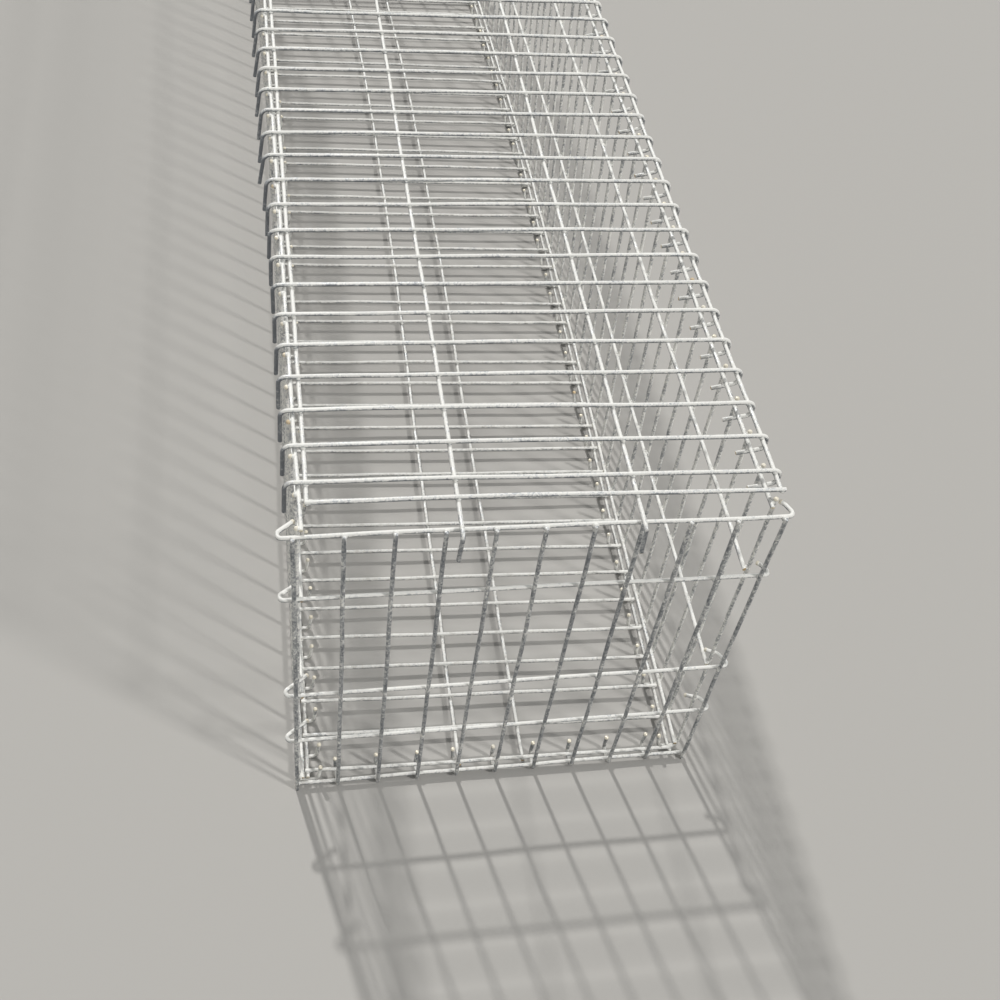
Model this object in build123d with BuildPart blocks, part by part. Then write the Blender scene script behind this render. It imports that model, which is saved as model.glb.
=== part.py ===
from build123d import *
import os

# A gabion basket: six panels of welded wire mesh, hooked together along their edges.
# X runs across the basket, Y along it and Z up. The origin is on the ground, under the middle.

# Driving dimensions, in millimetres. The wires' places inside a panel are counted in cells of the mesh.
wire_diameter = 5.0
weld_sink = 0.6
mesh_pitch = 50.0
cells_across = 10
cells_along = 40

# Clearances: at a seat, before a cut end, and beside a wire that the lid's wires pass
seat_gap = 0.3
end_gap = 0.6
running_gap = 5.0

# How far each kind of wire end stands past the last wire it is welded to
wire_end_overhang = 3.5

# Side panels: their inset from the end panels' outer wires, and the room before their first uprights
side_inset = 2.0
near_slack = 1.3
far_slack = 15.3
side_level_drops = (9.5, 12.5)
side_foot_height = 14.0

# End panels: the gaps between their level wires, from the top down, and the hooks at both sides. A hook's
# blunt nose runs between two distances behind its wire.
foot_wire_gap = 1.0
end_level_gaps = (102.0, 184.0, 100.0, 105.0)
end_hook_slack = 10.2
end_hook_corner = 12.0
end_hook_nose = (4.0, 8.0)
end_hook_return = 27.5

# Hooks at the foot of the upright wires
foot_hook_slack = 1.0
foot_hook_height = 27.0

# Base panel: the two inner lengthwise wires, in cells from the middle
base_inner_cells = (-0.62, 1.12)

# Lid panel: its two inner lengthwise wires, in cells from the middle, and its legs, tabs and hooks
lid_inner_cells = (-1.58, 2.14)
lid_cells_short = 2
lid_end_gap = 4.2
lid_edge_gap = 24.5
lid_leg_length = 45.0
lid_tab_length = 40.0
lid_hook_height = 15.0
lid_hook_corner = 6.0
lid_hook_return = 30.8
lid_hook_drop = 7.0

# Distances between the middles of two wires: welded, resting on each other, or passing
wire_radius = wire_diameter / 2
weld_offset = wire_diameter - weld_sink
touch_offset = wire_diameter + seat_gap
clear_offset = wire_diameter + running_gap

# Places along the basket. The sides' uprights stand nearer one end than the other.
near_setback = weld_offset + touch_offset + near_slack
far_setback = weld_offset + touch_offset + far_slack
half_run = cells_along * mesh_pitch / 2
half_span = half_run + (near_setback + far_setback) / 2
side_shift = (far_setback - near_setback) / 2
lid_front = -half_span + far_setback + touch_offset + wire_diameter + lid_end_gap
lid_tab_place = half_span + clear_offset

# Places across the basket
half_width = cells_across * mesh_pitch / 2
side_plane = half_width - side_inset
side_wire_offset = side_plane - weld_offset
foot_hook_width = (near_setback + far_setback) / 2 + wire_diameter + foot_hook_slack
base_edge_offset = side_plane - foot_hook_width / 2
base_reach = side_wire_offset - wire_radius - end_gap
lid_left_offset = side_wire_offset - clear_offset
lid_leg_offset = side_plane + clear_offset
lid_hinge_offset = side_plane + clear_offset
lid_hook_offset = lid_hinge_offset + touch_offset

# Heights, from the ground up
foot_level = wire_radius
base_level = foot_level + touch_offset
base_cross_level = base_level + weld_offset
foot_wire_level = foot_level + wire_diameter + foot_wire_gap
end_levels = [foot_wire_level + sum(end_level_gaps[i:]) for i in range(len(end_level_gaps))]
end_top_level, *end_lower_levels = end_levels
end_top = end_top_level + wire_radius
lid_level = end_top_level + touch_offset
lid_cross_level = lid_level + weld_offset
side_top_level = lid_cross_level - touch_offset
side_top = side_top_level + wire_radius
side_levels = [level - drop for level, drop in zip(end_lower_levels, side_level_drops)]

# Rows of wires, one mesh pitch apart
cross_places = [mesh_pitch * i - half_width for i in range(cells_across + 1)]
base_places = [mesh_pitch * i - half_run for i in range(cells_along + 1)]
side_places = [place + side_shift for place in base_places]
lid_places = [lid_front + lid_edge_gap + mesh_pitch * i for i in range(cells_along - lid_cells_short + 1)]
lid_back = lid_places[-1] + lid_edge_gap


def bent_wire(points, across):
    """A wire along straight runs with mitred bends. Its section is a square that stands on its corner."""
    with BuildPart() as wire:
        with BuildLine() as route:
            Polyline(*points)
        with BuildSketch(Plane(origin=points[0], x_dir=across, z_dir=route.line % 0)):
            RegularPolygon(radius=wire_radius, side_count=4)
        sweep(path=route.wire(), transition=Transition.RIGHT)
    return wire.part


def hooked_upright(outer, direction, top):
    """Places and heights along an upright wire, from its cut top down and round the hook at its foot."""
    inner = outer + direction * foot_hook_width
    return [(outer, top), (outer, foot_level), (inner, foot_level), (inner, foot_hook_height)]


def end_level_wire(height, tip):
    """A level wire of the front end panel, whose ends hook round the first upright wires of the sides."""
    near = -half_span + weld_offset
    left_return = -half_span + near_setback + touch_offset
    right_return = -half_span + far_setback + touch_offset
    outer = side_plane + touch_offset + end_hook_slack
    shoulder = outer - end_hook_corner
    nose_start, nose_stop = [near + distance for distance in end_hook_nose]
    route = [
        (-tip, left_return),
        (-shoulder, left_return),
        (-outer, nose_stop),
        (-outer, nose_start),
        (-shoulder, near),
        (shoulder, near),
        (outer, nose_start),
        (outer, nose_stop),
        (shoulder, right_return),
        (tip, right_return),
    ]
    return bent_wire([(x, y, height) for x, y in route], (0, 0, 1))


os.makedirs("parts", exist_ok=True)

# Base panel: crosswise wires welded on top of four lengthwise wires
base_inner_places = [mesh_pitch * cells for cells in base_inner_cells]
with BuildPart() as base_mesh:
    with BuildSketch(Plane.YZ.offset(-base_reach)):
        with Locations(*[(place, base_cross_level) for place in base_places]):
            RegularPolygon(radius=wire_radius, side_count=4)
    extrude(amount=2 * base_reach)
    with BuildSketch(Plane.XZ.offset(-half_run - wire_end_overhang)):
        with Locations(*[(x, base_level) for x in (-base_edge_offset, *base_inner_places, base_edge_offset)]):
            RegularPolygon(radius=wire_radius, side_count=4)
    extrude(amount=2 * (half_run + wire_end_overhang))
base_mesh.part.label = "base_mesh"
export_step(base_mesh.part, "parts/base_mesh.step")

# Side panel: upright wires outside, four lengthwise wires inside, and a hook at each foot
side_upright = bent_wire([(x, 0, z) for x, z in hooked_upright(side_plane, -1, side_top)], (0, 1, 0))
with BuildPart() as right_side_mesh:
    with Locations(*[(0, place, 0) for place in side_places]):
        add(side_upright)
    with BuildSketch(Plane.XZ.offset(-half_run - side_shift - wire_end_overhang)):
        with Locations(*[(side_wire_offset, z) for z in (side_top_level, *side_levels, side_foot_height)]):
            RegularPolygon(radius=wire_radius, side_count=4)
    extrude(amount=2 * (half_run + wire_end_overhang))
right_side_mesh.part.label = "right_side_mesh"
export_step(right_side_mesh.part, "parts/right_side_mesh.step")

# The left side is the same panel turned end for end
with BuildPart() as left_side_mesh:
    with Locations(Rotation(0, 0, 180)):
        add(right_side_mesh.part)
left_side_mesh.part.label = "left_side_mesh"
export_step(left_side_mesh.part, "parts/left_side_mesh.step")

# End panel: upright wires outside and level wires inside. The hooks of the top level wire stop short,
# beside the sides' top wires.
end_upright = bent_wire([(0, y, z) for y, z in hooked_upright(-half_span, 1, end_top)], (1, 0, 0))
corner_upright = bent_wire([(0, -half_span, end_top), (0, -half_span, 0)], (1, 0, 0))
end_top_tip = side_wire_offset + wire_radius + end_gap
end_lower_tip = side_plane + touch_offset + end_hook_slack - end_hook_return
end_top_wire = end_level_wire(end_top_level, end_top_tip)
end_lower_wires = [end_level_wire(level, end_lower_tip) for level in end_lower_levels]
end_foot_reach = half_width + wire_end_overhang
end_foot_route = [(x, -half_span + weld_offset, foot_wire_level) for x in (-end_foot_reach, end_foot_reach)]
end_foot_wire = bent_wire(end_foot_route, (0, 0, 1))
with BuildPart() as front_end_mesh:
    with Locations(*[(x, 0, 0) for x in cross_places[1:-1]]):
        add(end_upright)
    with Locations((cross_places[0], 0, 0), (cross_places[-1], 0, 0)):
        add(corner_upright)
    add([end_top_wire, *end_lower_wires, end_foot_wire])
front_end_mesh.part.label = "front_end_mesh"
export_step(front_end_mesh.part, "parts/front_end_mesh.step")

# The back end is the same panel turned to face the other way
with BuildPart() as back_end_mesh:
    with Locations(Rotation(0, 0, 180)):
        add(front_end_mesh.part)
back_end_mesh.part.label = "back_end_mesh"
export_step(back_end_mesh.part, "parts/back_end_mesh.step")

# Lid panel: crosswise wires on top, each with a leg at its left end and a hook at its right end. The hooks
# close round the lid's own edge wire and the right side's top wire, and the lid turns in them.
hook_shoulder = lid_hook_offset - lid_hook_corner
hook_bottom = lid_cross_level - lid_hook_height
lid_cross_wire = bent_wire(
    [
        (-lid_leg_offset, 0, lid_cross_level - lid_leg_length),
        (-lid_leg_offset, 0, lid_cross_level),
        (hook_shoulder, 0, lid_cross_level),
        (lid_hook_offset, 0, lid_cross_level - lid_hook_height / 2),
        (hook_shoulder, 0, hook_bottom),
        (lid_hook_offset - lid_hook_return, 0, hook_bottom - lid_hook_drop),
    ],
    (0, 1, 0),
)

# The two inner lengthwise wires run over both end panels and turn down in front of them
lid_tab_bottom = lid_level - lid_tab_length
lid_runner = bent_wire(
    [
        (0, -lid_tab_place, lid_tab_bottom),
        (0, -lid_tab_place, lid_level),
        (0, lid_tab_place, lid_level),
        (0, lid_tab_place, lid_tab_bottom),
    ],
    (1, 0, 0),
)
with BuildPart() as lid_mesh:
    with Locations(*[(0, place, 0) for place in lid_places]):
        add(lid_cross_wire)
    with Locations(*[(mesh_pitch * cells, 0, 0) for cells in lid_inner_cells]):
        add(lid_runner)
    with BuildSketch(Plane.YZ.offset(-lid_left_offset - wire_end_overhang)):
        with Locations((lid_front, lid_cross_level), (lid_back, lid_cross_level)):
            RegularPolygon(radius=wire_radius, side_count=4)
    extrude(amount=lid_left_offset + lid_hinge_offset + 2 * wire_end_overhang)
    with BuildSketch(Plane.XZ.offset(-lid_back)):
        with Locations((-lid_left_offset, lid_level), (lid_hinge_offset, lid_level)):
            RegularPolygon(radius=wire_radius, side_count=4)
    extrude(amount=lid_back - lid_front)
lid_mesh.part.label = "lid_mesh"
export_step(lid_mesh.part, "parts/lid_mesh.step")
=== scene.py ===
"""Dresses a gabion basket: six hand-hooked panels of galvanised welded mesh, on a plain pale floor.

Lengths are in metres. X runs across the basket, Y along it and Z up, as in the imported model.
"""
import logging
import math
from dataclasses import dataclass
from enum import Enum

import bpy
import numpy as np
from mathutils import Matrix, Vector


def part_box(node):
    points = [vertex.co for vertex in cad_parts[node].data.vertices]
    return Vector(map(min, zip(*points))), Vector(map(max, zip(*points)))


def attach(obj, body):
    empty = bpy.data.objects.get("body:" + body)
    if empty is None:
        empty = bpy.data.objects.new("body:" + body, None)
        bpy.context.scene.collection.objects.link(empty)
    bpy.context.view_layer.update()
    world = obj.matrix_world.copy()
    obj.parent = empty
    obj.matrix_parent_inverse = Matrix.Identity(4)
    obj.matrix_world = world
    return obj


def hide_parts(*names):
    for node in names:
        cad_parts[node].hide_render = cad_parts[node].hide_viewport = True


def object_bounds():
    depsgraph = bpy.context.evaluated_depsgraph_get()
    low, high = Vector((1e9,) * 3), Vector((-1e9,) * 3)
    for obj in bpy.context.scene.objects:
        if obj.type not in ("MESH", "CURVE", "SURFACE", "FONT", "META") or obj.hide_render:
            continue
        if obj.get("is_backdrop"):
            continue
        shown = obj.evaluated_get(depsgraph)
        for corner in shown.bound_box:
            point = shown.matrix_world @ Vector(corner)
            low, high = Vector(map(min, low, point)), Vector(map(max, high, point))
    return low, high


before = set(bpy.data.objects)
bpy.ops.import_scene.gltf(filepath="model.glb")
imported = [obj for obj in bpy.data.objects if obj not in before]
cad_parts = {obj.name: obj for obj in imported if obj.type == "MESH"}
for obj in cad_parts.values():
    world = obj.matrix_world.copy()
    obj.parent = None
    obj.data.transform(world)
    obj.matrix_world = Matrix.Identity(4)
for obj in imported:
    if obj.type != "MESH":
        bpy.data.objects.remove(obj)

LOG = logging.getLogger("gabion_basket")
FULL_TURN = 2.0 * math.pi
TONE_SPREAD = 0.05  # how much the wires of a panel differ in tone
LAY_SPREAD = 50.0  # how far apart their coatings are read, so that no two are alike
Array = np.ndarray
Point = tuple[float, float, float]
Socket = bpy.types.NodeSocket


class Body(Enum):
    """The two bodies that the panels ride on."""

    CAGE = "cage"
    LID = "lid"


class Axis(Enum):
    """The basket's directions, by their place among a point's coordinates."""

    ACROSS = 0
    ALONG = 1
    UP = 2

    @property
    def direction(self) -> Array:
        """The vector of length one in this direction."""
        return np.eye(3)[self.value]

    def points(self, distances: Array) -> Array:
        """Points at the given distances in this direction, one row each."""
        return np.outer(distances, self.direction)


class WireEnd(Enum):
    """How a wire ends: its rings, each a share of the radius and an advance in radii, and what follows them.

    That is the tip's advance, the slope of the end's face, and how bare the end is.
    """

    SHEARED = (((1.0, 0.35), (0.9, 0.47), (0.5, 0.5)), 0.5, 0.22, 0.9)
    DIPPED = (((1.0, 0.35), (0.93, 0.6), (0.6, 0.8)), 0.85, 0.1, 0.0)
    BEADED = (((1.06, 0.3), (1.16, 0.8), (1.04, 1.35), (0.64, 1.7)), 1.8, 0.0, 0.55)

    @property
    def rings(self) -> Array:
        """The rings' shares of the radius and their advances, in radii."""
        return np.array(self.value[0])

    @property
    def tip(self) -> float:
        """How far the middle of the end stands past the wire's last full ring, in radii."""
        return self.value[1]

    @property
    def tilt(self) -> float:
        """The slope of the end's face."""
        return self.value[2]

    @property
    def bareness(self) -> float:
        """How much bare steel shows on the end, from 0 to 1."""
        return self.value[3]

    @property
    def depth(self) -> float:
        """The furthest that any point of the end reaches, in radii."""
        return max(self.tip, float(np.max(self.rings[:, 1] + self.tilt * self.rings[:, 0])))


@dataclass(frozen=True)
class Stock:
    """The round zinc-coated wire of every panel, and how finely it is drawn.

    Attributes:
        radius: the wire's radius.
        sides: how many points there are round it.
        spacing: the distance between its rings on a straight run.
        bend: the radius of its bends, where a run has none of its own.
        pitch: the distance between the wires of a mesh.
        overhang: how far a wire stands past the last one that it is welded to.
        waves: the length and the height of each wave in a straight wire.
        lumps: the length of each wave in the coating, and how often it comes round the wire.
        lumpiness: how much thinner those waves make the wire, as a share of its radius.
        cut_tilts: the least and the most that an end is tilted, as shares of its kind's tilt.
        cut_bareness: the least and the most that it is bare, as shares of its kind's bareness.
        weld_offset: the distance between the middles of two wires that are welded.
        weld_reach: how far a weld's bead reaches sideways.
        weld_height: how far it reaches towards each wire.
        weld_rows: how many rings it has.
        weld_sizes: its smallest and largest size, as shares of the full one.
        weld_lobes: how often each of its waves comes round it, and that wave's height.
        weld_halo: how far beside a weld the coating is marked, in radii.
    """

    radius: float = 0.0025
    sides: int = 10
    spacing: float = 0.007
    bend: float = 0.0065
    pitch: float = 0.05
    overhang: float = 0.0035
    waves: tuple[tuple[float, float], ...] = ((0.61, 0.00045), (0.23, 0.00025), (0.11, 0.0001))
    lumps: tuple[tuple[float, int], ...] = ((0.057, 0), (0.031, 1), (0.021, 2), (0.017, 1))
    lumpiness: float = 0.03
    cut_tilts: tuple[float, float] = (0.3, 1.0)
    cut_bareness: tuple[float, float] = (0.35, 1.0)
    weld_offset: float = 0.0044
    weld_reach: float = 0.0036
    weld_height: float = 0.0027
    weld_rows: int = 4
    weld_sizes: tuple[float, float] = (0.84, 1.08)
    weld_lobes: tuple[tuple[int, float], ...] = ((2, 0.07), (-3, 0.05))
    weld_halo: float = 2.4

    @property
    def angles(self) -> Array:
        """The angles of the points round the wire."""
        return FULL_TURN * np.arange(self.sides) / self.sides


@dataclass(frozen=True)
class Play:
    """How far hand bending moves a wire's end.

    Attributes:
        length: the length over which that fades out.
        amount: how far the end moves, for all the wires or one row for each.
    """

    length: float = 0.04
    amount: Point | Array = (0.0, 0.0, 0.0)

    def fade(self, distance: Array) -> Array:
        """The share of the play at each distance from the end: a straight line down to nought."""
        return np.clip(1.0 - distance / self.length, 0.0, 1.0)


def unit(vectors: Array) -> Array:
    """Vectors of length one: each is divided by its own length, along the last axis of the array."""
    return vectors / np.linalg.norm(vectors, axis=-1, keepdims=True)


def rounded_route(
    corners: Array, bend: float, spacing: float, arc_steps: int = 7, share: float = 0.48
) -> Array:
    """Points along straight runs that are joined by tangent arcs.

    With h half the turn at a corner, the arc begins bend * tan(h) before it, and its middle point lies
    bend / cos(h) from the corner, on the line that halves the angle between the two runs. Points of the arc
    are that middle plus bend * (sin(a) * mean direction - cos(a) * inward direction), for a from -h to h.

    Args:
        corners: the route's corners, one row each.
        bend: the radius of the arcs, less where a run is too short for it.
        spacing: the distance between points on the straight runs.
        arc_steps: the number of points on each arc.
        share: how much of a run an arc may take.

    Returns:
        The route's points, one row each.
    """
    runs = np.diff(corners, axis=0)
    lengths = np.linalg.norm(runs, axis=1)
    along = runs / lengths[:, None]
    half_turn = 0.5 * np.arccos(np.clip(np.sum(along[:-1] * along[1:], axis=1), -1.0, 1.0))
    room = share * np.minimum(lengths[:-1], lengths[1:])
    reach = np.minimum(bend * np.tan(half_turn), room)
    radius = reach / np.tan(half_turn)
    mean = unit(along[:-1] + along[1:])
    inward = unit(along[1:] - along[:-1])
    middle = corners[1:-1] + inward * (radius / np.cos(half_turn))[:, None]
    angle = half_turn[:, None] * np.linspace(-1.0, 1.0, arc_steps)
    swing = np.sin(angle)[..., None] * mean[:, None] - np.cos(angle)[..., None] * inward[:, None]
    arcs = middle[:, None] + radius[:, None, None] * swing
    starts = [corners[0], *arcs[:, -1]]
    stops = [*arcs[:, 0], corners[-1]]
    pieces = [corners[:1]]
    for index, (start, stop) in enumerate(zip(starts, stops)):
        count = max(1, math.ceil(np.linalg.norm(stop - start) / spacing))
        steps = np.linspace(0.0, 1.0, count + 1)[1:-1, None]
        pieces.append(start + steps * (stop - start))
        if index < len(arcs):
            pieces.append(arcs[index])
    pieces.append(corners[-1:])
    return np.concatenate(pieces)


@dataclass
class WireRun:
    """Like wires that share one route, each with small waves and bent ends of its own.

    Attributes:
        corners: the corners of the shared route.
        square: the direction square to the plane of the route.
        shifts: how far each wire lies from the shared route, one row each.
        start: how the wires begin.
        finish: how they end.
        start_play: how far their first ends vary.
        finish_play: how far their last ends vary.
        weld_axis: the axis that the welds' places are measured on.
        weld_places: those places, after the shift.
        start_lean: how far each wire's first end leans out of the route, one row each.
        foot_leans: how far each wire's foot stands along the basket from its top.
        lean_top: the height of that top.
        bend: the radius of its bends, where it isn't the stock's.
        bloom_and_painted_light: painted light: how much paler than the rest the wires are painted, for how
            brightly they are lit.
        darkening_reach: how far from their first ends the wires are darker, and the length over which that
            fades out.
        darkening: how much darker.
    """

    corners: Array
    square: Axis
    shifts: Array | tuple[Point, ...] = ((0.0, 0.0, 0.0),)
    start: WireEnd = WireEnd.SHEARED
    finish: WireEnd = WireEnd.SHEARED
    start_play: Play = Play()
    finish_play: Play = Play()
    weld_axis: Axis = Axis.ACROSS
    weld_places: Array | None = None
    start_lean: Play = Play()
    foot_leans: Array | None = None
    lean_top: float = 1.0
    bend: float | None = None
    bloom_and_painted_light: float = 0.0
    darkening_reach: tuple[float, float] = (0.0, 0.01)
    darkening: float = 0.0

    def centre_lines(self, stock: Stock, rng: np.random.Generator) -> tuple[Array, Array]:
        """The wires' centre lines.

        A line is the shared route, plus its shift, plus a few sine waves of the length along it with phases
        of its own, plus its ends' play, which fades to nothing over the play's length, plus the lean of its
        foot, which fades with the height.

        Args:
            stock: the wire.
            rng: the source of random numbers.

        Returns:
            The points (wire, point, xyz) and the length along the route at each point.
        """
        corners = np.array(self.corners, dtype=float)
        first, last = unit(corners[1] - corners[0]), unit(corners[-2] - corners[-1])
        corners[0] += first * self.start.depth * stock.radius
        corners[-1] += last * self.finish.depth * stock.radius
        route = rounded_route(corners, self.bend or stock.bend, stock.spacing)
        steps = np.linalg.norm(np.diff(route, axis=0), axis=1)
        along = np.concatenate([[0.0], np.cumsum(steps)])
        shifts = np.array(self.shifts, dtype=float)
        lines = route[None] + shifts[:, None]
        for wave_length, height in stock.waves:
            phase = rng.uniform(0.0, FULL_TURN, (len(shifts), 1, 3))
            lines = lines + height * np.sin(FULL_TURN * along[None, :, None] / wave_length + phase)
        for play, distance in ((self.start_play, along), (self.finish_play, along[-1] - along)):
            offset = rng.uniform(-1.0, 1.0, (len(shifts), 3)) * np.array(play.amount)
            lines = lines + play.fade(distance)[None, :, None] * offset[:, None]
        if self.foot_leans is not None:
            lines[..., 1] += self.foot_leans[:, None] * np.clip(1.0 - lines[..., 2] / self.lean_top, 0.0, 1.0)
        lean = np.broadcast_to(np.array(self.start_lean.amount), (len(shifts), 3))
        return lines + self.start_lean.fade(along)[None, :, None] * lean[:, None], along


class MeshDraft:
    """Collects tubes and weld beads as arrays, and makes one closed mesh of them."""

    def __init__(self, name: str, stock: Stock, rng: np.random.Generator) -> None:
        """Starts an empty mesh.

        Args:
            name: the finished object's name.
            stock: the wire.
            rng: the source of random numbers.
        """
        self.name = name
        self.stock = stock
        self.rng = rng
        self.vertices: list[Array] = []
        self.quads: list[Array] = []
        self.triangles: list[Array] = []
        self.values: dict[str, list[Array]] = {key: [] for key in ("tone", "bare", "weld", "crown")}
        self.lay: list[Array] = []
        self.count = 0

    def add_wires(self, run: WireRun) -> None:
        """Adds the tubes of like wires.

        A ring's points are centre + radius * (cos(a) * side + sin(a) * up), where side is the route's square
        direction made square to the wire as well, and up is square to both. A point near a weld is marked by
        exp(-(gap / halo)^2), with its gap to the nearest weld.

        Args:
            run: the wires.
        """
        stock, rng = self.stock, self.rng
        lines, along = run.centre_lines(stock, rng)
        wires, points = lines.shape[:2]
        angle = stock.angles
        tangent = unit(np.gradient(lines, axis=1))
        square = run.square.direction
        side = unit(square - np.sum(square * tangent, axis=-1, keepdims=True) * tangent)
        up = np.cross(tangent, side)
        spokes = np.cos(angle)[:, None] * side[:, :, None] + np.sin(angle)[:, None] * up[:, :, None]
        radius = self._coated_radius(wires, along)
        rings, bare = [lines[:, :, None] + radius[..., None] * spokes], [np.zeros((wires, points))]
        tips, tip_bare = [], []
        for end, index, outward in ((run.start, 0, -1), (run.finish, -1, 1)):
            heading = outward * tangent[:, index]
            cap, face = self._cap(end, lines[:, index], heading, radius[:, index], spokes[:, index])
            tips.append(lines[:, index] + heading * end.tip * stock.radius)
            tip_bare.append(face[:, -1])
            place = 0 if index == 0 else len(rings)
            rings.insert(place, cap[:, ::outward])
            bare.insert(place, face[:, ::outward])
        grid = np.concatenate(rings, axis=1)
        capped = (len(run.start.rings), len(run.finish.rings))
        welds = np.zeros((wires, points))
        if run.weld_places is not None:
            gap = lines[:, :, run.weld_axis.value, None] - np.array(run.weld_places)
            welds = np.max(np.exp(-((gap / (stock.weld_halo * stock.radius)) ** 2)), axis=-1)
        welds = np.pad(welds, ((0, 0), capped), mode="edge")
        # how far each point faces up, which the finish turns into painted light
        crown = np.pad(spokes[..., 2], ((0, 0), capped, (0, 0)), mode="edge")
        spread = np.pad(along, capped, mode="edge")[None, :, None]
        lay = np.empty(grid.shape)
        lay[..., 0] = spread + rng.uniform(0.0, LAY_SPREAD, (wires, 1, 1))
        lay[..., 1] = stock.radius * np.cos(angle)
        lay[..., 2] = stock.radius * np.sin(angle)
        reach, fade = run.darkening_reach
        # painted light: the run's lift makes whole panels paler for how brightly they are lit; the random
        # spread is the wires' own tone
        tone = run.bloom_and_painted_light + rng.uniform(0.0, TONE_SPREAD, (wires, 1, 1))
        tone = tone - run.darkening * np.clip((reach - spread) / fade + 1.0, 0.0, 1.0)
        bare = np.concatenate(bare, axis=1)[..., None]
        values = {"tone": tone, "bare": bare, "weld": welds[..., None], "crown": crown}
        self._store(grid, np.stack(tips, axis=1), lay, values, np.stack(tip_bare, axis=1))

    def _coated_radius(self, wires: int, along: Array) -> Array:
        """The uneven radius of coated wires.

        It falls short of the stock's by the mean of a few cosine waves of the length and the angle, so the
        coating looks uneven but never stands out.

        Args:
            wires: how many there are.
            along: the length along them at each ring.

        Returns:
            The radius (wire, ring, side).
        """
        stock = self.stock
        swell = np.zeros((wires, len(along), stock.sides))
        for wave_length, lobes in stock.lumps:
            phase = self.rng.uniform(0.0, FULL_TURN, (wires, 1, 1))
            wave = np.cos(FULL_TURN * along[None, :, None] / wave_length + lobes * stock.angles + phase)
            swell += wave / len(stock.lumps)
        return stock.radius * (1.0 - stock.lumpiness * (1.0 - swell) / 2.0)

    def _cap(
        self, end: WireEnd, middle: Array, heading: Array, radius: Array, spokes: Array
    ) -> tuple[Array, Array]:
        """The rings that close the ends of like wires.

        A ring's points are middle + heading * reach + share * radius * spoke. The reach is the ring's own
        advance plus its share of the slope, a cosine of the angle, as if the end were cut aslant.

        Args:
            end: how the wires end.
            middle: the last points of their centre lines.
            heading: their directions there.
            radius: their radii there (wire, side).
            spokes: their directions from the middle to each side (wire, side, xyz).

        Returns:
            The rings (wire, ring, side, xyz), from the wire to its tip, and how bare each is (wire, ring).
        """
        stock, rng = self.stock, self.rng
        phase = rng.uniform(0.0, FULL_TURN, (len(middle), 1))
        slope = end.tilt * rng.uniform(*stock.cut_tilts, (len(middle), 1)) * np.cos(stock.angles + phase)
        share, advance = end.rings[:, 0], end.rings[:, 1]
        reach = stock.radius * (advance[:, None] + share[:, None] * slope[:, None])
        cap = middle[:, None, None] + heading[:, None, None] * reach[..., None]
        cap = cap + (share[:, None] * radius[:, None])[..., None] * spokes[:, None]
        bareness = end.bareness * rng.uniform(*stock.cut_bareness, (len(middle), 1))
        return cap, bareness * (np.arange(len(share)) > 0)

    def add_welds(self, places: Array, first: Axis, second: Axis) -> None:
        """Adds a bead of zinc round each crossing of two wires.

        A bead is a ball squashed towards the contact: place + reach * cos(b) * (cos(a) * first +
        sin(a) * second) + height * sin(b) * third. Its size wavers with a by a few cosine waves.

        Args:
            places: the middles of the crossings, one row each.
            first: the direction of one wire.
            second: the direction of the other.
        """
        stock, rng = self.stock, self.rng
        angle = stock.angles
        rise = np.linspace(-0.5 * math.pi, 0.5 * math.pi, stock.weld_rows + 2)[1:-1]
        third = np.cross(first.direction, second.direction)
        flat = np.cos(angle)[:, None] * first.direction + np.sin(angle)[:, None] * second.direction
        ball = np.cos(rise)[:, None, None] * flat * stock.weld_reach
        ball = ball + np.sin(rise)[:, None, None] * third * stock.weld_height
        count = len(places)
        size = rng.uniform(*stock.weld_sizes, (count, 1, 1))
        phase = rng.uniform(0.0, FULL_TURN, (count, 1, 1))
        wobble = np.ones(stock.sides)
        for lobes, height in stock.weld_lobes:
            wobble = wobble + height * np.cos(lobes * angle + phase)
        grid = places[:, None, None] + ball * (size * wobble)[..., None]
        tips = places[:, None] + np.stack([-third, third]) * stock.weld_height * size
        offset = rng.uniform(0.0, LAY_SPREAD, (count, 1, 1, 3))
        tone = rng.uniform(0.0, TONE_SPREAD, (count, 1, 1))
        bare, weld = np.zeros((1, 1, 1)), np.ones((1, 1, 1))
        values = {"tone": tone, "bare": bare, "weld": weld, "crown": unit(ball)[None, ..., 2]}
        self._store(grid, tips, ball + offset, values, np.zeros((count, 2)))

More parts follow.
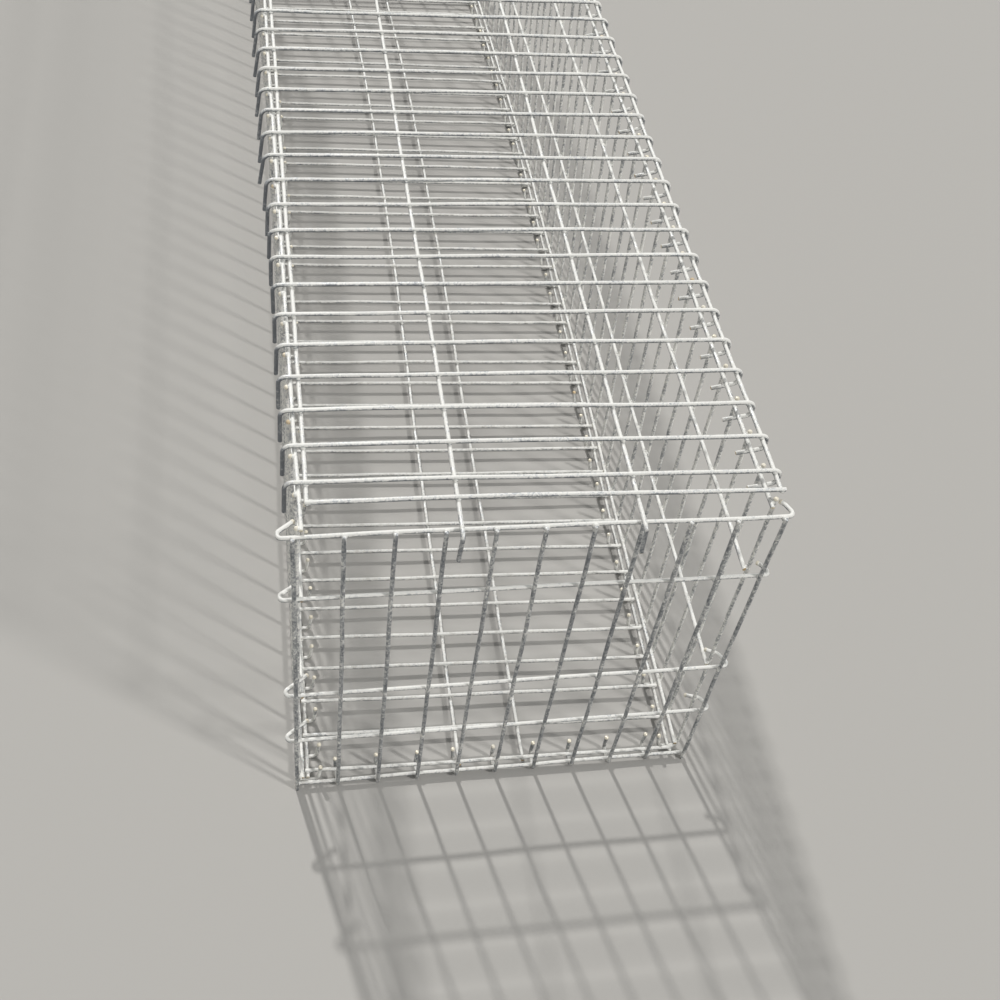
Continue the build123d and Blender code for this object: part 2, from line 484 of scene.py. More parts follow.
    def _store(self, grid: Array, tips: Array, lay: Array, values: dict[str, Array], tip_bare: Array) -> None:
        """Keeps closed shells whose rings are rows of a grid, with a point at each end.

        Ring point j of ring i joins j + 1 and ring i + 1 in a quad, and each end's point joins the outer
        ring in triangles. Every face then points out of the shell.

        Args:
            grid: ring points (shell, ring, side, xyz).
            tips: the two end points of each shell (shell, end, xyz).
            lay: the coordinates that the finish is read at, like the grid.
            values: the named attributes, which fit the grid without its last axis.
            tip_bare: the bareness at the two end points.
        """
        shells, rings, sides = grid.shape[:3]
        body = rings * sides
        size = body + 2
        base = self.count + size * np.arange(shells)[:, None, None]
        ring = np.arange(rings - 1)[None, :, None] * sides
        here = np.arange(sides)
        following = (here + 1) % sides
        corners = (ring + here, ring + following, ring + sides + following, ring + sides + here)
        self.quads.append(np.stack([base + corner for corner in corners], axis=-1).reshape(-1, 4))
        last = body - sides
        for tip, one, two in ((body, following, here), (body + 1, last + here, last + following)):
            fan = [np.broadcast_to(base[:, 0] + corner, (shells, sides)) for corner in (tip, one, two)]
            self.triangles.append(np.stack(fan, axis=-1).reshape(-1, 3))
        self.vertices.append(np.concatenate([grid.reshape(shells, body, 3), tips], axis=1).reshape(-1, 3))
        ends = lay.mean(axis=2)[:, [0, -1]]
        self.lay.append(np.concatenate([lay.reshape(shells, body, 3), ends], axis=1).reshape(-1, 3))
        for key, value in values.items():
            full = np.broadcast_to(value, (shells, rings, sides))
            at_tips = tip_bare if key == "bare" else full.mean(axis=2)[:, [0, -1]]
            joined = np.concatenate([full.reshape(shells, body), at_tips], axis=1)
            self.values[key].append(joined.reshape(-1))
        self.count += shells * size

    def build(self, plan: "BasketPlan", bounds: tuple[Array, Array]) -> bpy.types.Object:
        """Makes the object, sagged as the basket is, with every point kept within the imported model's box.

        Args:
            plan: the basket's shared places.
            bounds: the lowest and highest corner of that box.

        Returns:
            The object, at the origin.
        """
        mesh = bpy.data.meshes.new(self.name)
        points = np.clip(plan.sagged(np.concatenate(self.vertices)), *bounds)
        faces = np.concatenate(self.quads).tolist() + np.concatenate(self.triangles).tolist()
        mesh.from_pydata(points, [], faces)
        mesh.polygons.foreach_set("use_smooth", np.ones(len(faces), dtype=bool))
        for key, value in self.values.items():
            attribute = mesh.attributes.new(key, "FLOAT", "POINT")
            attribute.data.foreach_set("value", np.concatenate(value).astype(np.float32))
        attribute = mesh.attributes.new("lay", "FLOAT_VECTOR", "POINT")
        attribute.data.foreach_set("vector", np.concatenate(self.lay).astype(np.float32).ravel())
        mesh.update()
        piece = bpy.data.objects.new(self.name, mesh)
        bpy.context.scene.collection.objects.link(piece)
        return piece


class Graph:
    """A node tree with short calls that add and join nodes."""

    def __init__(self, tree: bpy.types.NodeTree) -> None:
        """Takes the tree.

        Args:
            tree: the tree to add nodes to.
        """
        self.tree = tree

    def add(self, kind: str, settings: dict[str, object] | None = None, **inputs: object) -> bpy.types.Node:
        """Adds a node.

        Args:
            kind: the node's type.
            settings: values for its properties.
            **inputs: a socket or a value for each named input, with _ for a space.

        Returns:
            The node.
        """
        node = self.tree.nodes.new(kind)
        for key, value in (settings or {}).items():
            setattr(node, key, value)
        for key, value in inputs.items():
            self.feed(node.inputs[key.replace("_", " ")], value)
        return node

    def feed(self, target: Socket, value: object) -> None:
        """Links a socket to an input, or sets the input's value.

        Args:
            target: the input.
            value: a socket or a plain value.
        """
        if isinstance(value, Socket):
            self.tree.links.new(value, target)
        else:
            target.default_value = value

    def math(self, operation: str, first: object, second: object = 0.0, clamp: bool = False) -> Socket:
        """Adds a math node.

        Args:
            operation: the operation's name.
            first: its first value.
            second: its second value.
            clamp: whether the result is kept between 0 and 1.

        Returns:
            The result's socket.
        """
        node = self.add("ShaderNodeMath", {"operation": operation, "use_clamp": clamp})
        self.feed(node.inputs[0], first)
        self.feed(node.inputs[1], second)
        return node.outputs[0]

    def step(self, value: Socket, low: float, high: float, floor: float = 0.0, top: float = 1.0) -> Socket:
        """Adds a smooth step from one level to another.

        Args:
            value: what is measured.
            low: where the step begins.
            high: where it ends.
            floor: the level before it.
            top: the level after it.

        Returns:
            The result's socket.
        """
        settings = {"interpolation_type": "SMOOTHSTEP"}
        node = self.add("ShaderNodeMapRange", settings, Value=value)
        for index, level in enumerate((low, high, floor, top), start=1):
            node.inputs[index].default_value = level
        return node.outputs[0]

    def mix(self, factor: Socket, first: Socket | Point, second: Socket | Point) -> Socket:
        """Adds a colour mix.

        Args:
            factor: how much of the second colour shows.
            first: the first colour, as a socket or as red, green and blue.
            second: the second colour.

        Returns:
            The mixed colour's socket.
        """
        node = self.add("ShaderNodeMix", {"data_type": "RGBA"})
        self.feed(node.inputs[0], factor)
        for index, colour in ((6, first), (7, second)):
            self.feed(node.inputs[index], (*colour, 1.0) if isinstance(colour, tuple) else colour)
        return node.outputs[2]

    def attribute(self, name: str, output: str) -> Socket:
        """Adds a node that reads a named attribute of the mesh, and gives its named output."""
        return self.add("ShaderNodeAttribute", {"attribute_name": name}).outputs[output]

    def noise(self, vector: Socket, scale: object, detail: float, roughness: float) -> Socket:
        """Adds a noise texture.

        Args:
            vector: where it is read.
            scale: its scale.
            detail: how many octaves it has.
            roughness: how strong the finer octaves are.

        Returns:
            The noise value's socket.
        """
        node = self.add("ShaderNodeTexNoise", Vector=vector, Scale=scale, Detail=detail, Roughness=roughness)
        return node.outputs["Fac"]


def new_group(
    name: str, inputs: dict[str, tuple[str, object]], outputs: dict[str, str]
) -> tuple[Graph, dict[str, Socket], dict[str, Socket]]:
    """Starts a shader node group.

    Args:
        name: the group's name.
        inputs: each input's socket type and starting value.
        outputs: each output's socket type.

    Returns:
        The graph, the sockets that bring the inputs in, and the sockets that take the outputs.
    """
    tree = bpy.data.node_groups.new(name, "ShaderNodeTree")
    for key, (kind, value) in inputs.items():
        socket = tree.interface.new_socket(key, in_out="INPUT", socket_type=kind)
        if value is not None:
            socket.default_value = value
    for key, kind in outputs.items():
        tree.interface.new_socket(key, in_out="OUTPUT", socket_type=kind)
    graph = Graph(tree)
    entry = graph.add("NodeGroupInput")
    leave = graph.add("NodeGroupOutput")
    return graph, {key: entry.outputs[key] for key in inputs}, {key: leave.inputs[key] for key in outputs}


@dataclass(frozen=True)
class ZincMottling:
    """The mottling of hot-dipped zinc, read along the wire: lengthwise blotches, crystals and speckles.

    Attributes:
        blotch_scale: the scale of the blotches.
        blotch_stretch: their scale along the wire, as a share of that across it.
        crystal_scale: the scale of the crystals.
        speckle_scale: the scale of the speckles.
        blotch_share: how much of the shade the blotches make up.
        speckle_share: how much the speckles do.
        crystal_share: how much the crystals do.
        speck_step: the speckle values at which a dark speck begins and is full.
        speckle_height: how high the speckles stand beside the blotches.
    """

    blotch_scale: float = 95.0
    blotch_stretch: float = 0.35
    crystal_scale: float = 420.0
    speckle_scale: float = 760.0
    blotch_share: float = 0.5
    speckle_share: float = 0.28
    crystal_share: float = 0.16
    speck_step: tuple[float, float] = (0.6, 0.7)
    speckle_height: float = 0.7

    def build(self) -> bpy.types.NodeTree:
        """Builds the group.

        The shade is the weighted sum of a stretched noise, a fine noise and a random value for each crystal,
        plus the wire's own tone and the bias, which also carry painted light: a lift for each panel, paler
        tops and darker undersides.

        Returns:
            The group, whose outputs are the shade, a mask of dark specks and a height.
        """
        inputs = {
            "Lay": ("NodeSocketVector", None),
            "Tone": ("NodeSocketFloat", 0.0),
            "Bias": ("NodeSocketFloat", 0.0),
            "Blotch Scale": ("NodeSocketFloat", self.blotch_scale),
            "Crystal Scale": ("NodeSocketFloat", self.crystal_scale),
            "Speckle Scale": ("NodeSocketFloat", self.speckle_scale),
        }
        outputs = {"Shade": "NodeSocketFloat", "Specks": "NodeSocketFloat", "Height": "NodeSocketFloat"}
        graph, given, result = new_group("zinc_coating", inputs, outputs)
        lay = given["Lay"]
        stretched = graph.add("ShaderNodeMapping", Vector=lay, Scale=(self.blotch_stretch, 1.0, 1.0))
        blotch = graph.noise(stretched.outputs[0], given["Blotch Scale"], detail=5.0, roughness=0.68)
        fine = graph.noise(lay, given["Speckle Scale"], detail=3.0, roughness=0.7)
        crystals = graph.add("ShaderNodeTexVoronoi", Vector=lay, Scale=given["Crystal Scale"])
        grain = graph.add("ShaderNodeSeparateColor", Color=crystals.outputs["Color"]).outputs[0]
        shade = graph.math("MULTIPLY", blotch, self.blotch_share)
        for value, share in ((fine, self.speckle_share), (grain, self.crystal_share)):
            shade = graph.math("ADD", shade, graph.math("MULTIPLY", value, share))
        for key in ("Tone", "Bias"):
            shade = graph.math("ADD", shade, given[key])
        graph.feed(result["Shade"], shade)
        graph.feed(result["Specks"], graph.step(fine, *self.speck_step))
        bumps = graph.math("MULTIPLY", fine, self.speckle_height)
        graph.feed(result["Height"], graph.math("ADD", blotch, bumps))
        return graph.tree


@dataclass(frozen=True)
class GroundSoiling:
    """Dried splashes near the ground, and rust specks at random places.

    Attributes:
        reach: the height at which the last splashes end.
        splash_scale: the scale of the splashes.
        splash_step: the noise values at which a splash begins and is full.
        rust_scale: the scale of the rust specks.
        rust_step: the noise values at which a rust speck begins and is full.
    """

    reach: float = 0.06
    splash_scale: float = 160.0
    splash_step: tuple[float, float] = (0.5, 0.66)
    rust_scale: float = 46.0
    rust_step: tuple[float, float] = (0.7, 0.77)

    def build(self) -> bpy.types.NodeTree:
        """Builds the group.

        Returns:
            The group, whose outputs are a dirt mask and a rust mask.
        """
        inputs = {"Lay": ("NodeSocketVector", None), "Reach": ("NodeSocketFloat", self.reach)}
        outputs = {"Dirt": "NodeSocketFloat", "Rust": "NodeSocketFloat"}
        graph, given, result = new_group("ground_soiling", inputs, outputs)
        place = graph.add("ShaderNodeTexCoord").outputs["Object"]
        level = graph.add("ShaderNodeSeparateXYZ", Vector=place).outputs["Z"]
        fall = graph.math("SUBTRACT", 1.0, graph.math("DIVIDE", level, given["Reach"], clamp=True))
        splashes = graph.noise(given["Lay"], self.splash_scale, detail=4.0, roughness=0.6)
        rust = graph.noise(given["Lay"], self.rust_scale, detail=5.0, roughness=0.7)
        graph.feed(result["Dirt"], graph.math("MULTIPLY", fall, graph.step(splashes, *self.splash_step)))
        graph.feed(result["Rust"], graph.step(rust, *self.rust_step))
        return graph.tree


@dataclass(frozen=True)
class ZincFinish:
    """Weathered hot-dip galvanising: blue-grey zinc that has whitened in places, painted light by facing, and
    bare cut ends.

    A step is given by the values where it begins and ends, and then by the levels before and after it where
    those aren't 0 and 1.

    Attributes:
        name: the material's name.
        dark_zinc: the colour of the darkest zinc, and of the specks.
        zinc: the colour of plain zinc.
        bloom_and_painted_light: the colour of the palest zinc, where it has whitened with weathering and
            where painted light lifts it.
        fresh_zinc: the colour of an end that was cut before it was dipped.
        bare_steel: the colour of one that was cut after it.
        dirt: the colour of the splashes.
        rust: the colour of the rust.
        painted_facing_light_step: how the shade grows with how far the surface faces up: painted light, paler
            on top and darker underneath, partly weathering too.
        weld_shade: how much paler a weld is.
        zinc_step: the shades from dark to plain zinc.
        bloom_and_light_step: the shades from plain zinc to the palest, which weathering and painted light
            lift.
        end_step: the bareness over which a cut end shows.
        steel_step: the bareness from fresh zinc to steel.
        speck_share: how much of a speck's colour shows.
        dirt_share: how much of the dirt's does.
        rust_share: how much of the rust's does.
        metal_levels: how metallic plain zinc and the palest zinc are.
        rough_levels: how rough they are.
        bump_strength: how strongly the mottling stands out.
        bump_distance: how high it is.
    """

    name: str = "galvanised_wire"
    dark_zinc: Point = (0.19, 0.204, 0.222)
    zinc: Point = (0.48, 0.495, 0.505)
    bloom_and_painted_light: Point = (0.93, 0.915, 0.86)
    fresh_zinc: Point = (0.86, 0.8, 0.66)
    bare_steel: Point = (0.6, 0.43, 0.22)
    dirt: Point = (0.26, 0.22, 0.16)
    rust: Point = (0.32, 0.17, 0.08)
    painted_facing_light_step: tuple[float, ...] = (-0.45, 0.75, -0.12, 0.15)
    weld_shade: float = 0.07
    zinc_step: tuple[float, float] = (0.33, 0.56)
    bloom_and_light_step: tuple[float, float] = (0.47, 0.67)
    end_step: tuple[float, float] = (0.0, 0.3)
    steel_step: tuple[float, float] = (0.5, 0.57)
    speck_share: float = 0.35
    dirt_share: float = 0.3
    rust_share: float = 0.5
    metal_levels: tuple[float, float] = (0.75, 0.15)
    rough_levels: tuple[float, float] = (0.4, 0.68)
    bump_strength: float = 0.4
    bump_distance: float = 0.0005

    def build(self, mottling: bpy.types.NodeTree, soiling: bpy.types.NodeTree) -> bpy.types.Material:
        """Builds the material.

        Args:
            mottling: the group that mottles the zinc.
            soiling: the group of dirt and rust.

        Returns:
            The material.
        """
        material = bpy.data.materials.new(self.name)
        material.use_nodes = True
        material.node_tree.nodes.clear()
        graph = Graph(material.node_tree)
        tone, bare, weld, crown = (graph.attribute(key, "Fac") for key in ("tone", "bare", "weld", "crown"))
        lay = graph.attribute("lay", "Vector")
        # painted light: the shade is raised where the surface faces up and lowered where it faces down,
        # partly for weathering
        painted_facing_light = graph.step(crown, *self.painted_facing_light_step)
        bias = graph.math("ADD", painted_facing_light, graph.math("MULTIPLY", weld, self.weld_shade))
        zinc = graph.add("ShaderNodeGroup", {"node_tree": mottling}, Lay=lay, Tone=tone, Bias=bias).outputs
        soil = graph.add("ShaderNodeGroup", {"node_tree": soiling}, Lay=lay).outputs
        # the palest colour shows where weathering and painted light lift the shade
        pale = graph.step(zinc["Shade"], *self.bloom_and_light_step)
        colour = graph.mix(graph.step(zinc["Shade"], *self.zinc_step), self.dark_zinc, self.zinc)
        colour = graph.mix(pale, colour, self.bloom_and_painted_light)
        for mask, share, stain in (
            (zinc["Specks"], self.speck_share, self.dark_zinc),
            (soil["Dirt"], self.dirt_share, self.dirt),
            (soil["Rust"], self.rust_share, self.rust),
        ):
            colour = graph.mix(graph.math("MULTIPLY", mask, share), colour, stain)
        end = graph.mix(graph.step(bare, *self.steel_step), self.fresh_zinc, self.bare_steel)
        colour = graph.mix(graph.step(bare, *self.end_step), colour, end)
        bump = graph.add(
            "ShaderNodeBump",
            Strength=self.bump_strength,
            Distance=self.bump_distance,
            Height=zinc["Height"],
        )
        shader = graph.add(
            "ShaderNodeBsdfPrincipled",
            Base_Color=colour,
            Metallic=graph.step(pale, 0.0, 1.0, *self.metal_levels),
            Roughness=graph.step(pale, 0.0, 1.0, *self.rough_levels),
            Normal=bump.outputs["Normal"],
        )
        graph.add("ShaderNodeOutputMaterial", Surface=shader.outputs["BSDF"])
        return material


@dataclass(frozen=True)
class BasketPlan:
    """Places that several panels share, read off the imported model's boxes.

    Attributes:
        stock: the wire.
        half_width: the place of the end panels' outer uprights.
        half_span: the uprights' plane of the end panels.
        side_plane: the uprights' plane of the side panels.
        foot_inset: how far the hooks at the uprights' feet reach in.
        base_reach: the ends of the base's crosswise wires.
        end_top: the tops of the end panels' uprights.
        side_top: the tops of the side panels' uprights.
        side_start: the front ends of the right side's lengthwise wires.
        lid_top: the height of the lid's crosswise wires.
        lid_hook: the middle of the wire where the lid's hooks reach furthest out.
        lid_tab: the place of the tabs in front of the end panels.
        cells_across: the number of cells across an end panel.
        sag: how far the right top front corner has moved.
        sag_across: where that movement starts and is full, across the basket.
        sag_along: the same along the basket.
        bow: how far the feet have moved to the right in the middle of the basket.
        bow_bias: how much nearer the back than the front that is.
        base_start: the place of the base's first crosswise wire.
        base_pitch: the distance between those wires in front.
        base_slack: how fast that distance grows towards the back, and from which wire on.
        base_skew: how far those wires turn from square, as slopes at four of them.
        base_skew_rows: which four.
    """

    stock: Stock
    half_width: float
    half_span: float
    side_plane: float
    foot_inset: float
    base_reach: float
    end_top: float
    side_top: float
    side_start: float
    lid_top: float
    lid_hook: float
    lid_tab: float
    cells_across: int = 10
    sag: Point = (0.0015, -0.0045, -0.001)
    sag_across: tuple[float, float] = (-0.15, 0.25)
    sag_along: tuple[float, float] = (-0.6, -0.98)
    bow: float = 0.0155
    bow_bias: float = 1.5
    base_start: float = -1.00383
    base_pitch: float = 0.049214
    base_slack: tuple[float, int] = (0.0001515, 24)
    base_skew: tuple[float, ...] = (-0.02, -0.0374, -0.0374, -0.015)
    base_skew_rows: tuple[int, ...] = (0, 3, 31, 40)

    @classmethod
    def from_frame(cls, stock: Stock) -> "BasketPlan":
        """Reads the plan off the frame.

        Args:
            stock: the wire.

        Returns:
            The plan.
        """
        side_low, side_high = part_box("right_side_mesh")
        end_low, end_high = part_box("front_end_mesh")
        base_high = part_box("base_mesh")[1]
        lid_low, lid_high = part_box("lid_mesh")
        return cls(
            stock=stock,
            half_width=cls.cells_across / 2 * stock.pitch,
            half_span=-end_low[1] - stock.radius,
            side_plane=side_high[0] - stock.radius,
            foot_inset=side_high[0] - side_low[0] - 2.0 * stock.radius,
            base_reach=base_high[0],
            end_top=end_high[2],
            side_top=side_high[2],
            side_start=side_low[1],
            lid_top=lid_high[2] - stock.radius,
            lid_hook=lid_high[0] - stock.radius,
            lid_tab=-lid_low[1] - stock.radius,
        )

    def base_rows(self, across: float) -> Array:
        """The places of the base's crosswise wires.

        Wire k lies at start + pitch * k, plus slack * (k - first)^2 from the first slack wire on, plus its
        slope times the distance across.

        Args:
            across: the distance to the right of the basket's middle.

        Returns:
            The places along the basket at that distance.
        """
        index = np.arange(self.base_skew_rows[-1] + 1)
        growth, first = self.base_slack
        rows = self.base_start + self.base_pitch * index + growth * np.clip(index - first, 0, None) ** 2
        return rows + np.interp(index, self.base_skew_rows, self.base_skew) * across

    def sagged(self, points: Array) -> Array:
        """Points moved with the sag of the right top front corner and the bow of the feet.

        Each point moves by the sag times its share of the height, times two smooth steps, 3 t^2 - 2 t^3, of
        how far it lies across and along towards that corner. With s its share of the way from the front to
        the back, it also moves to the right by the bow times sin(pi * s^bias), fading to nothing at the top.

        Args:
            points: the points, one row each.

        Returns:
            The moved points.
        """
        share = points[:, 2] / self.lid_top
        for axis, (start, full) in enumerate((self.sag_across, self.sag_along)):
            step = np.clip((points[:, axis] - start) / (full - start), 0.0, 1.0)
            share = share * step * step * (3.0 - 2.0 * step)
        way = np.clip(0.5 + 0.5 * points[:, 1] / self.half_span, 0.0, 1.0)
        depth = np.clip(1.0 - points[:, 2] / self.lid_top, 0.0, 1.0)
        moved = points + share[:, None] * np.array(self.sag)
        moved[:, 0] += self.bow * depth * np.sin(math.pi * way**self.bow_bias)
        return moved


@dataclass
class MeshPanel:
    """A panel of welded mesh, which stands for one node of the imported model.

    Attributes:
        plan: the basket's shared places.
        node: the node that the panel stands for.
        body: the body that it rides on.
        seed: what its random numbers start from.
        turn: 1, or -1 for a panel that is turned end for end.
    """

    plan: BasketPlan
    node: str
    body: Body
    seed: int
    turn: float = 1.0

    @property
    def turned(self) -> Array:
        """What a point's coordinates are multiplied by, to turn it with the panel."""
        return np.array([self.turn, self.turn, 1.0])

    def draw(self, draft: MeshDraft) -> None:
        """Adds the panel's wires and welds to its mesh.

        Args:
            draft: the mesh.
        """
        raise NotImplementedError

    def build(self, finish: bpy.types.Material, bounds: tuple[Array, Array]) -> bpy.types.Object:
        """Makes the panel's object, dresses it and hands it to its body.

        Args:
            finish: the panel's material.
            bounds: the corners of the box that it stays in.

        Returns:
            The object.
        """
        draft = MeshDraft(f"{self.node}_wires", self.plan.stock, np.random.default_rng(self.seed))
        self.draw(draft)
        piece = draft.build(self.plan, bounds)
        piece.data.materials.append(finish)
        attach(piece, self.body.value)
        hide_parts(self.node)
        LOG.info("%s: %d faces", piece.name, len(piece.data.polygons))
        return piece


@dataclass
class BasePanel(MeshPanel):
    """The base: crosswise wires welded on top of four lengthwise ones.

    Attributes:
        level: the height of the lengthwise wires.
        inner_places: the inner lengthwise wires' places.
        overrun: how far the lengthwise wires run past their solids.
        cross_painted_light: painted light: how much paler than the others the crosswise wires are painted.
    """

    level: float = 0.0078
    inner_places: tuple[float, ...] = (-0.0435, 0.04)
    overrun: float = 0.004
    cross_painted_light: float = 0.05

    def draw(self, draft: MeshDraft) -> None:
        """Adds the base's wires and welds.

        Args:
            draft: the mesh.
        """
        stock, plan = self.plan.stock, self.plan
        cross_level = self.level + stock.weld_offset
        edge = plan.side_plane - plan.foot_inset / 2
        columns = (-edge, *self.inner_places, edge)
        reach = plan.base_reach
        for left, right in zip(plan.base_rows(-reach), plan.base_rows(reach)):
            draft.add_wires(
                WireRun(
                    corners=np.array([(-reach, left, cross_level), (reach, right, cross_level)]),
                    square=Axis.ALONG,
                    weld_places=columns,
                    bloom_and_painted_light=self.cross_painted_light,
                )
            )
        half = self.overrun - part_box(self.node)[0][1]
        contact = self.level + stock.weld_offset / 2
        for x in columns:
            rows = plan.base_rows(x)
            draft.add_wires(
                WireRun(
                    corners=np.array([(x, y, self.level) for y in (-half, half)]),
                    square=Axis.ACROSS,
                    weld_axis=Axis.ALONG,
                    weld_places=rows,
                )
            )
            draft.add_welds(np.array([(x, y, contact) for y in rows]), Axis.ACROSS, Axis.ALONG)


@dataclass
class SidePanel(MeshPanel):
    """A side: upright wires outside, four lengthwise wires inside, and a hook at each foot.

    The left side is the right one, turned end for end.

    Attributes:
        cells: the number of cells along the side.
        levels: the heights of the lengthwise wires below the top one.
        tip_height: the height of the tips of the hooks at the feet.
        tip_lean: how far those tips lean in.
        slips: how far the uprights between the end ones have slid along the basket, at two places.
        slip_places: those two places.
        foot_gap: how far behind a crosswise wire of the base each foot stands.
        foot_play: how far the hooks at the feet vary.
        top_lean: how far the panel's top leans in.
        top_drop: how far below the uprights' tops the top wire lies.
        top_overrun: how much further than the others the top wire runs past the first upright.
        bloom_and_painted_light: painted light: how much paler than the others the uprights are painted, for
            how brightly they are lit.
    """

    cells: int = 40
    levels: tuple[float, ...] = (0.388, 0.201, 0.014)
    tip_height: float = 0.031
    tip_lean: float = 0.003
    slips: tuple[float, float] = (-0.004, -0.004)
    slip_places: tuple[float, float] = (-1.0, 1.0)
    foot_gap: float = 0.0075
    foot_play: Play = Play(0.045, (0.0015, 0.0025, 0.001))
    top_lean: float = 0.0
    top_drop: float = 0.0045
    top_overrun: float = 0.005
    bloom_and_painted_light: float = 0.105

    def draw(self, draft: MeshDraft) -> None:
        """Adds the side's wires and welds.

        Args:
            draft: the mesh.
        """
        stock, plan, turned = self.plan.stock, self.plan, self.turned
        plane, inner = plan.side_plane, plan.side_plane - plan.foot_inset
        rows = plan.side_start + stock.overhang + stock.pitch * np.arange(self.cells + 1)
        rows[1:-1] += self.turn * np.interp(self.turn * rows[1:-1], self.slip_places, self.slips)
        heights = np.array([plan.side_top - stock.radius - self.top_drop, *self.levels])
        fall = 1.0 - heights / plan.side_top
        feet = np.maximum(plan.base_rows(self.turn * inner) + self.foot_gap, -abs(rows).max())
        lean = self.turn * feet[:: int(self.turn)] - rows
        corners = [
            (inner - self.tip_lean, 0.0, self.tip_height),
            (inner, 0.0, stock.radius),
            (plane, 0.0, stock.radius),
            (plane - self.top_lean, 0.0, plan.side_top),
        ]
        draft.add_wires(
            WireRun(
                corners=np.array(corners) * turned,
                square=Axis.ALONG,
                shifts=Axis.ALONG.points(rows) * turned,
                start=WireEnd.BEADED,
                finish=WireEnd.BEADED,
                start_play=self.foot_play,
                weld_axis=Axis.UP,
                weld_places=heights,
                foot_leans=self.turn * lean,
                lean_top=plan.side_top,
                bloom_and_painted_light=self.bloom_and_painted_light,
            )
        )
        inside = plane - stock.weld_offset - self.top_lean * (1.0 - fall)
        ends = (rows[0] - stock.overhang, rows[-1] + stock.overhang)
        overrun = Axis.ALONG.points(min(lean[0], 0.0) * fall)
        overrun[0, 1] -= self.top_overrun
        draft.add_wires(
            WireRun(
                corners=np.array([(0.0, y, 0.0) for y in ends]) * turned,
                square=Axis.ACROSS,
                shifts=(Axis.ACROSS.points(inside) + Axis.UP.points(heights)) * turned,
                weld_axis=Axis.ALONG,
                weld_places=rows * self.turn,
                start_lean=Play(stock.pitch, overrun * turned),
            )
        )
        y = rows[:, None] + lean[:, None] * fall
        x = np.broadcast_to(inside + stock.weld_offset / 2, y.shape)
        places = np.stack([x, y, np.broadcast_to(heights, y.shape)], axis=-1) * turned
        draft.add_welds(places.reshape(-1, 3), Axis.ALONG, Axis.UP)


